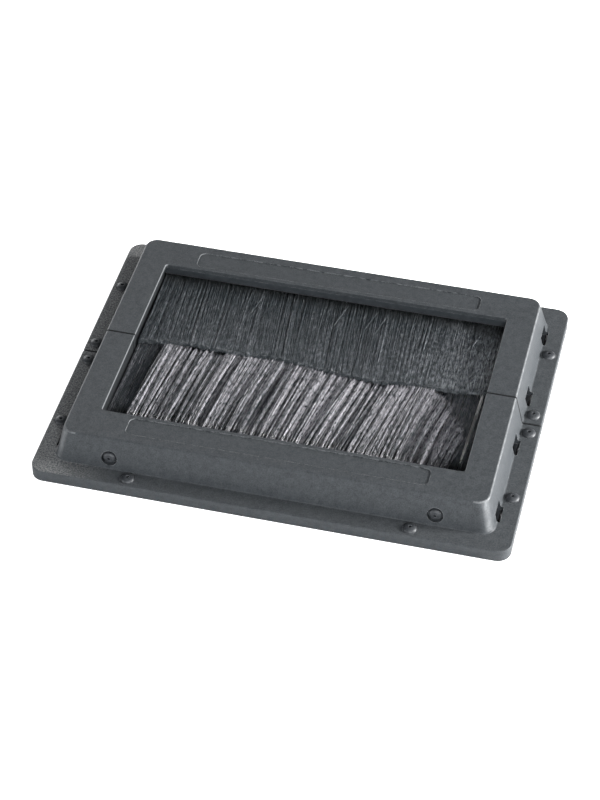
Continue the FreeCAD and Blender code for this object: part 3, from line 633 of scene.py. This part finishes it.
def strandMesh(name, line, radius, tone):
    # A three-sided tube along every line: ring k of strand n is its line's point k plus the radius
    # times the cosine and sine of each side's angle, across the strand. It tapers at the tip.
    count, points = line.shape[:2]
    sides = filaments["sides"]
    along = np.gradient(line, axis=1)
    along /= np.linalg.norm(along, axis=2, keepdims=True)
    across = np.cross(along, (0, 0, 1.0))
    across /= np.linalg.norm(across, axis=2, keepdims=True)
    upward = np.cross(across, along)
    angle = np.arange(sides) * 2 * np.pi / sides + np.pi / 2
    taper = np.where(np.arange(points) == points - 1, filaments["point"], 1.0)
    thick = radius[:, None, None, None] * taper[None, :, None, None]
    ring = (np.cos(angle)[None, None, :, None] * across[:, :, None, :]
            + np.sin(angle)[None, None, :, None] * upward[:, :, None, :])
    place = (line[:, :, None, :] + ring * thick).reshape(-1, 3) * mm

    start, here, beside, above, aboveBeside = ringCorners(count, points, sides)
    quads = np.stack([here, beside, aboveBeside, above], axis=-1).reshape(-1, 4)
    first = start + np.arange(sides)[::-1]
    last = start + (points - 1) * sides + np.arange(sides)
    caps = np.concatenate([first, last])
    loops = np.concatenate([quads.ravel(), caps.ravel()]).astype(np.int32)
    quadStarts = np.arange(len(quads)) * quads.shape[1]
    capStarts = quads.size + np.arange(len(caps)) * sides
    begins = np.concatenate([quadStarts, capStarts]).astype(np.int32)

    mesh = bpy.data.meshes.new(name)
    mesh.vertices.add(len(place))
    mesh.vertices.foreach_set("co", place.astype(np.float32).ravel())
    mesh.loops.add(len(loops))
    mesh.loops.foreach_set("vertex_index", loops)
    mesh.polygons.add(len(begins))
    mesh.polygons.foreach_set("loop_start", begins)
    mesh.polygons.foreach_set("use_smooth", np.ones(len(begins), bool))
    mesh.update(calc_edges=True)
    alongStrand = np.tile(np.repeat(np.linspace(0, 1, points), sides), count)
    for label, values in (("tone", np.repeat(tone, sides)), ("along", alongStrand)):
        mesh.attributes.new(label, "FLOAT", "POINT").data.foreach_set("value", values.astype(np.float32))
    mesh.validate()
    return mesh


def clumps(rng, root, spacing):
    # The clump nearest to each root, and the random numbers that its strands share.
    half = filaments["half"]
    centres = np.sort(rng.uniform(-half, half, int(2 * half / spacing)))
    own = np.clip(np.searchsorted((centres[1:] + centres[:-1]) / 2, root), 0, len(centres) - 1)
    return centres[own], rng.normal(0, 1, (len(centres), filaments["traits"]))[own]


# In every row, lean, reach and painted light are pairs: a place in X and the value there. The
# painted light scales the tone along X in place of light and shade from the lamps.
backTips = ((-126, 75), (-92, 71), (-67, 72.5), (-39, 71), (-11, 73), (22, 76.5),
            (47, 77.5), (72, 74), (97, 75), (126, 71))
# Painted light on the back rows: their tone rises towards +X, where the frame shades them.
backShine = ((-126, 1.0), (40, 1.0), (75, 2.0), (105, 4.0), (126, 4.4))
backLean = ((-126, 1), (-90, 6), (-62, 4), (-30, 8), (20, 6), (55, 5), (80, 0), (126, 0))
rows = {
    "filaments_front_under": {
        "node": "filament_row_front", "seed": 11, "count": 3600, "turn": 1, "steps": 3,
        "radius": (0.16, 0.24), "rootZ": (17.3, 19.4), "tipZ": (17.2, 18.2), "arch": 0.0,
        "span": (-126.6, 126.6),
        "lean": ((-126, 0.5), (-100, 3), (100, 3), (126, 2)),
        "reach": ((-126, 93), (-100, 93), (-80, 88), (90, 88), (104, 94), (126, 94)),
        "paintedLight": ((-126, 1.4), (-100, 1.4), (100, 1.8), (126, 1.6)),
        "group": 9.0, "groupPull": 0.05, "clump": 2.0, "pull": 0.2, "sway": 0.6, "stray": 0.6,
        "uneven": 2.5, "lift": 0.1, "bend": 0.3, "wave": 0.1,
        "tone": 0.06, "bundleHighlight": 0.03, "groupTone": 0.02, "ownTone": 0.05, "outward": 0.08,
    },
    "filaments_front_over": {
        "node": "filament_row_front", "seed": 12, "count": 6000, "turn": 1, "steps": 5,
        "radius": (0.12, 0.18), "rootZ": (18.6, 21.2), "tipZ": (18.2, 19.8), "arch": 0.7,
        "span": (-113, 109),
        "lean": ((-126, 10), (-90, 9), (-50, 11), (0, 14), (40, 16), (66, 13), (95, 11), (110, 6)),
        "reach": ((-126, 91), (-103, 91), (-97, 88.5), (-78, 88.5), (-71, 92), (-12, 92), (4, 88),
                  (12, 83.5), (46, 84), (56, 89), (66, 89), (80, 84), (98, 68), (106, 56), (110, 46)),
        "paintedLight": ((-126, 1.7), (-40, 1.75), (10, 1.05), (50, 1.8), (90, 2.2), (110, 2.6)),
        "group": 12.0, "groupPull": 0.02, "clump": 0.6, "pull": 0.55, "sway": 2.6, "stray": 0.7,
        "uneven": 4.0, "lift": 0.6, "bend": 0.9, "wave": 0.35,
        "tone": 0.155, "bundleHighlight": 0.38, "groupTone": 0.05, "ownTone": 0.19, "outward": 0.25,
    },
    "filaments_back_under": {
        "node": "filament_row_back", "seed": 13, "count": 3600, "turn": -1, "steps": 3,
        "radius": (0.16, 0.24), "rootZ": (17.3, 20.0), "tipZ": (19.4, 20.4), "arch": 0.0,
        "span": (-126.6, 126.6), "lean": backLean, "reach": backTips, "paintedLight": backShine,
        "group": 9.0, "groupPull": 0.05, "clump": 2.0, "pull": 0.2, "sway": 0.6, "stray": 0.6,
        "uneven": 1.2, "lift": 0.1, "bend": 0.3, "wave": 0.1,
        "tone": 0.06, "bundleHighlight": 0.03, "groupTone": 0.02, "ownTone": 0.05, "outward": 0.08,
    },
    "filaments_back_over": {
        "node": "filament_row_back", "seed": 14, "count": 6000, "turn": -1, "steps": 5,
        "radius": (0.12, 0.18), "rootZ": (19.4, 21.4), "tipZ": (20.6, 21.8), "arch": 0.3,
        "span": (-126.6, 126.6), "lean": backLean, "reach": backTips, "paintedLight": backShine,
        "group": 14.0, "groupPull": 0.0, "clump": 0.5, "pull": 0.3, "sway": 1.5, "stray": 0.8,
        "uneven": 1.2, "lift": 0.1, "bend": 0.7, "wave": 0.12,
        "tone": 0.085, "bundleHighlight": 0.03, "groupTone": 0.01, "ownTone": 0.05, "outward": 0.06,
    },
}


def shared(shares, *parts):
    # The parts, each times its share, added up.
    return sum(share * part for share, part in zip(shares, parts))


def strandLines(row):
    # Line of a strand for t from 0 at the channel to 1 at the tip: y runs on evenly; x moves by the
    # lean times a power of t, by the pull to its bundle, and by a half sine wave of its bend; z goes
    # from root to tip height plus an arch of a half sine wave and a ripple that grows with t.
    # A few bundles are lighter, a painted highlight for strands that catch the light: their tone grows
    # with the square of a random number above zero. That is added, times the square root of the row's
    # painted light at the root, to the row's own tone times that painted light, and to the outward tone
    # times t.
    look = filaments
    rng = np.random.default_rng(row["seed"])
    count = row["count"]
    root = rng.uniform(*row["span"], count)
    middle, wide = clumps(rng, root, row["group"])
    centre, own = clumps(rng, root, row["clump"])
    alone = rng.normal(0, 1, (count, look["traits"]))

    lean = np.interp(root, *zip(*row["lean"]))
    lean += row["sway"] * shared(look["swayShares"], wide[:, 0], own[:, 0]) + row["stray"] * alone[:, 0]
    reach = np.interp(root, *zip(*row["reach"]))
    reach += row["uneven"] * shared(look["unevenShares"], wide[:, 1], own[:, 1], alone[:, 1])
    t = np.append(np.linspace(0, 1 - look["tip"], row["steps"]), 1)[None, :]
    hump = np.sin(np.pi * t)
    rootZ = rng.uniform(*row["rootZ"], count)
    tipZ = rng.uniform(*row["tipZ"], count)
    tipZ += row["lift"] * shared(look["liftShares"], wide[:, 2], own[:, 2])
    pull = (middle - root) * row["groupPull"] + (centre - root) * row["pull"]
    bend = row["bend"] * shared(look["bendShares"], wide[:, 3], own[:, 3], alone[:, 2])
    x = root[:, None] + lean[:, None] * t ** look["leaning"]
    x = x + pull[:, None] * np.minimum(1, look["gathering"] * t) + bend[:, None] * hump
    x = np.clip(x, -look["half"], look["half"])
    y = -look["mouth"] - look["inside"] + (look["inside"] + reach[:, None]) * t
    arch = row["arch"] + row["lift"] * own[:, 2]
    ripple = np.sin(2 * np.pi * (look["ripples"] * t + rng.uniform(0, 1, count)[:, None])) * t
    z = rootZ[:, None] + (tipZ - rootZ)[:, None] * t + arch[:, None] * hump + row["wave"] * ripple
    line = np.stack([x, y * row["turn"], z], axis=-1)
    radius = rng.uniform(*row["radius"], count)

    litBundle = np.maximum(0, own[:, 1]) ** 2
    varied = row["bundleHighlight"] * litBundle + row["groupTone"] * wide[:, 1] + row["ownTone"] * alone[:, 3]
    paintedLight = np.interp(root, *zip(*row["paintedLight"]))
    tone = row["tone"] * paintedLight + varied * np.sqrt(paintedLight)
    return line, radius, np.clip(tone[:, None] + row["outward"] * t, 0, 1)


nylon = {
    "dark": (0.014, 0.021, 0.025),
    # The front and back light ends belong to a lit copy and a darker, cooler copy of the same nylon:
    # painted shade on the back rows.
    "frontLight": (0.415, 0.410, 0.440),
    "backLight": (0.360, 0.380, 0.405),
    "smooth": 0.22,
    "rough": 0.42,
    "gloss": 0.8,
    "patches": 220.0,                    # bright and dull stretches, per metre
    "patchNoise": (4.0, 0.7),
    "breaks": (-0.7, 2.7),               # how much they change the tone
    "paintedGlints": (1000.0, 300.0, 1000.0),   # painted glints: short sparks of light, long in Y
    "glintNoise": (2.0, 0.5),
    "paintedSparks": (-2.0, 4.0),
    "tipFrom": 0.8,                      # where along a strand its tip begins
    "tipShade": 0.5,                     # how much of its tone a tip keeps: painted shade
}


def nylonFilament(name, light):
    # The strand's own tone and place along its length set its colour and roughness. Stretched noise
    # paints glints on it, and its tip is darkened as painted shade.
    look = nylon
    material, tree, shader, place = newMaterial(name)
    tone = addNode(tree, "ShaderNodeAttribute", attribute_name="tone").outputs["Fac"]
    along = addNode(tree, "ShaderNodeAttribute", attribute_name="along").outputs["Fac"]
    patches = spread(tree, noiseAt(tree, place, look["patches"], *look["patchNoise"]), to=look["breaks"])
    paintedGlints = stretchedNoise(tree, place, look["paintedGlints"], *look["glintNoise"])
    paintedSparks = spread(tree, paintedGlints, to=look["paintedSparks"])
    shade = spread(tree, along, (look["tipFrom"], 1.0), (1.0, look["tipShade"]))
    uneven = product(tree, tone, product(tree, patches, paintedSparks))
    tipped = calculate(tree, "MULTIPLY", uneven, shade, clamp=True)
    link(tree, mixColour(tree, tipped, look["dark"], light), shader.inputs["Base Color"])
    roughness = spread(tree, tone, to=(look["rough"], look["smooth"]))
    link(tree, roughness, shader.inputs["Roughness"])
    shader.inputs["Specular IOR Level"].default_value = look["gloss"]
    return material


# A lit copy for the front rows, and a darker, cooler copy with painted shade for the back rows and the
# strays.
litFrontNylon = nylonFilament("nylonFilament", nylon["frontLight"])
shadedBackNylon = nylonFilament("shadedFilament", nylon["backLight"])


def makeRows():
    for name, row in rows.items():
        mesh = strandMesh(name, *strandLines(row))
        mesh.materials.append(litFrontNylon if row["turn"] > 0 else shadedBackNylon)
        piece = addObject(name, mesh)
        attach(piece, "root")
        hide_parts(row["node"])
        print(name, len(mesh.polygons), "faces")


makeRows()


# Single filaments that stand out, from and to, mm
strays = {
    "lines": (
        ((110, 68, 23.3), (106, 53, 24.0)),
        ((106, 60, 22.6), (101, 42, 23.0)),
        ((-50, 75, 22.2), (-56, 48, 22.5)),
        ((11, 76, 22.2), (5, 49, 22.5)),
        ((33, 75, 22.2), (27, 50, 22.5)),
        ((41, 74, 22.2), (35, 47, 22.5)),
    ),
    # The tones are painted highlights: lighter strands stand for strands that catch the light, the first
    # one most.
    "tones": (1.0, 0.4, 0.10, 0.15, 0.10, 0.12),
    "radii": (0.28, 0.20, 0.16, 0.16, 0.16, 0.16),
    "arch": 0.3,
    "steps": 6,
}


def makeStrays():
    # A stray runs straight from its start to its end, raised in the middle by a half sine wave.
    ends = np.array(strays["lines"], float)
    t = np.linspace(0, 1, strays["steps"])[None, :, None]
    line = ends[:, None, 0] * (1 - t) + ends[:, None, 1] * t
    line[..., 2] += strays["arch"] * np.sin(np.pi * t[..., 0])
    tone = np.array(strays["tones"])[:, None] * np.ones(strays["steps"])
    mesh = strandMesh("stray_filaments", line, np.array(strays["radii"]), tone)
    mesh.materials.append(shadedBackNylon)
    piece = addObject("stray_filaments", mesh)
    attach(piece, "root")
    print("stray_filaments", len(mesh.polygons), "faces")


makeStrays()


# Floor and light
studio = {
    "floorHalf": 3.0,
    "floorColour": (0.86, 0.86, 0.86),
    "floorShade": 0.985,                 # of its colour, in faint patches
    "floorPatches": 4.0,
    "floorNoise": (2.0, 0.5),
    "floorRough": 0.9,
    "floorGlow": 0.24,                   # what the grommet receives from the floor
    "floorSeen": 1.0,                    # what the camera sees of it: an even white
    "glowless": (0.165, 0.124),          # half sizes of the floor that the grommet covers
    "glowFade": 0.010,
    "world": (0.95, 0.97, 1.0),
    "worldStrength": 0.10,               # what it lights the grommet with
    "worldSeen": 1.0,                    # what the camera sees above the floor's edge
}
lamps = {
    # name: place, target, size, watts, colour
    "side": ((1.72, 0.20, 0.44), (0, 0, 0.02), 0.6, 100.0, (1.0, 0.99, 0.98)),
    "sideHigh": ((1.60, 0.20, 0.74), (0, 0, 0.02), 0.4, 26.0, (1.0, 0.99, 0.98)),
    "rim": ((-1.25, 1.30, 0.50), (0, 0, 0.02), 0.8, 17.0, (0.97, 0.98, 1.0)),
    "front": ((0.50, -1.60, 0.85), (0, 0, 0), 0.8, 33.0, (0.96, 0.98, 1.0)),
    "corner": ((-1.50, -1.00, 0.35), (0, 0, 0.02), 0.25, 12.0, (0.97, 0.98, 1.0)),
}


def paleFloor():
    # The floor glows only outside what the grommet covers, and seems brighter to the camera.
    material, tree, shader, place = newMaterial("paleFloor")
    pale = studio["floorColour"]
    shaded = [value * studio["floorShade"] for value in pale]
    noise = noiseAt(tree, place, studio["floorPatches"], *studio["floorNoise"])
    link(tree, mixColour(tree, noise, pale, shaded), shader.inputs["Base Color"])
    shader.inputs["Roughness"].default_value = studio["floorRough"]
    where = split(tree, place)
    outside = [
        spread(tree, calculate(tree, "ABSOLUTE", where[axis]), (edge - studio["glowFade"], edge))
        for axis, edge in zip("XY", studio["glowless"])
    ]
    glow = mixColour(tree, calculate(tree, "MAXIMUM", *outside), (0.0, 0.0, 0.0), (1.0, 1.0, 1.0))
    link(tree, glow, shader.inputs["Emission Color"])
    seen = tree.nodes.new("ShaderNodeLightPath").outputs["Is Camera Ray"]
    strength = spread(tree, seen, to=(studio["floorGlow"], studio["floorSeen"]))
    link(tree, strength, shader.inputs["Emission Strength"])
    return material


def makeFloor():
    half = studio["floorHalf"]
    corners = [(-half, -half, 0), (half, -half, 0), (half, half, 0), (-half, half, 0)]
    mesh = bpy.data.meshes.new("floor")
    mesh.from_pydata(corners, [], [(0, 1, 2, 3)])
    mesh.materials.append(paleFloor())
    floor = addObject("floor", mesh)


def makeWorld():
    world = bpy.data.worlds.new("studio")
    world.use_nodes = True
    tree = world.node_tree
    background = tree.nodes["Background"]
    background.inputs["Color"].default_value = (*studio["world"], 1)
    seen = tree.nodes.new("ShaderNodeLightPath").outputs["Is Camera Ray"]
    strength = spread(tree, seen, to=(studio["worldStrength"], studio["worldSeen"]))
    link(tree, strength, background.inputs["Strength"])
    bpy.context.scene.world = world
    bpy.context.scene.view_settings.view_transform = "Standard"


def makeLamps():
    # A lamp shines against its own Z axis, which points from its target to the lamp: tilted from upright
    # by the arctangent of level distance over height, then turned to that direction.
    for name, (place, target, size, watts, colour) in lamps.items():
        data = bpy.data.lights.new(name, "AREA")
        data.shape = "DISK"
        data.size = size
        data.energy = watts
        data.color = colour
        lamp = addObject(name, data)
        lamp.location = place
        away = np.subtract(place, target)
        tilt = math.atan2(math.hypot(away[0], away[1]), away[2])
        lamp.rotation_euler = (tilt, 0, math.atan2(away[0], -away[1]))


makeFloor()
makeWorld()
makeLamps()
print("studio lit")
